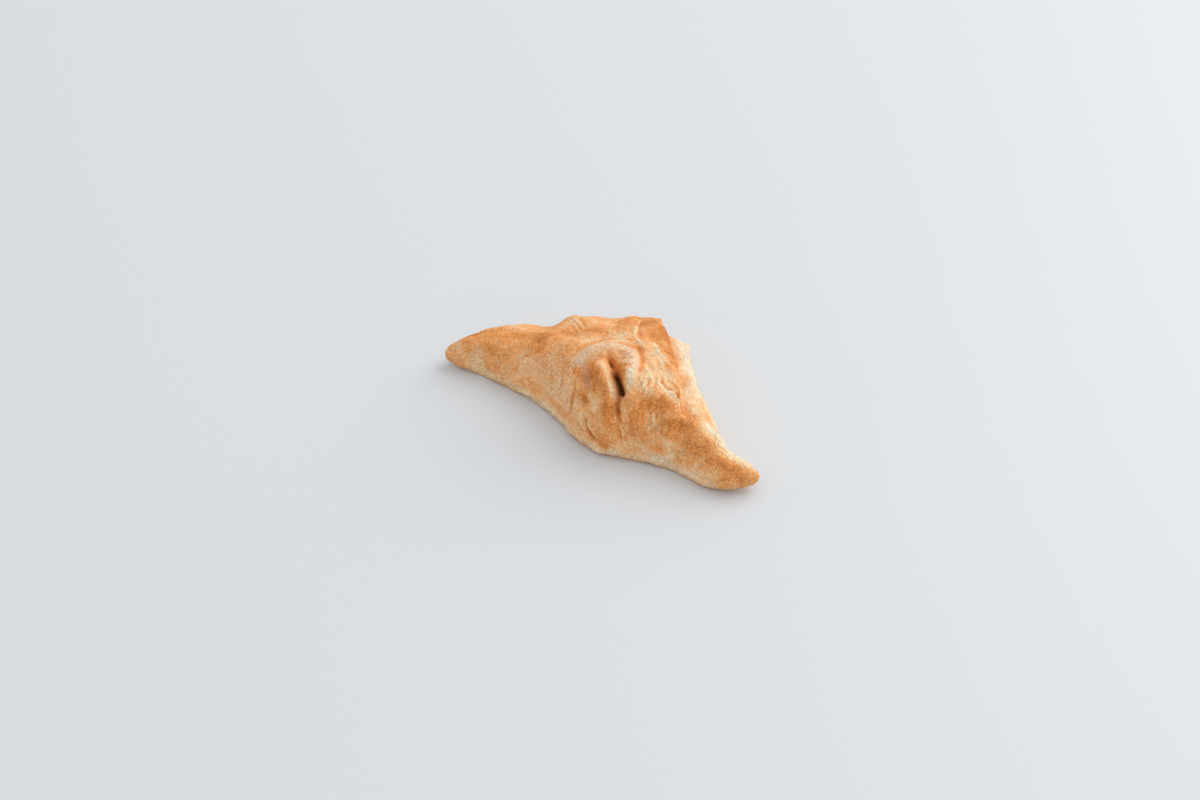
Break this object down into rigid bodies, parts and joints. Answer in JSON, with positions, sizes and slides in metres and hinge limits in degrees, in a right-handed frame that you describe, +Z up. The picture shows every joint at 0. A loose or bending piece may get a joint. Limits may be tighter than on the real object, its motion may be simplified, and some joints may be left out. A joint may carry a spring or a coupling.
{
  "type": "baked filled turnover",
  "caption": "Baked triangular turnover of folded dough, shut round its filling, with a pleated knot and a steam vent on top and pulled-out corners.",
  "frame": {"origin": "centre of the footprint, on the surface that it rests on", "axes": "+X along the longest side, from the left corner to the right corner; +Y towards the back corner; +Z up"},
  "size_m": [0.1518, 0.0776, 0.0327],
  "materials": {
    "crust": "matte, unevenly browned baked dough with a light dusting of flour"
  },
  "bodies": {
    "root": {"patty": "crust"}
  },
  "joints": []
}
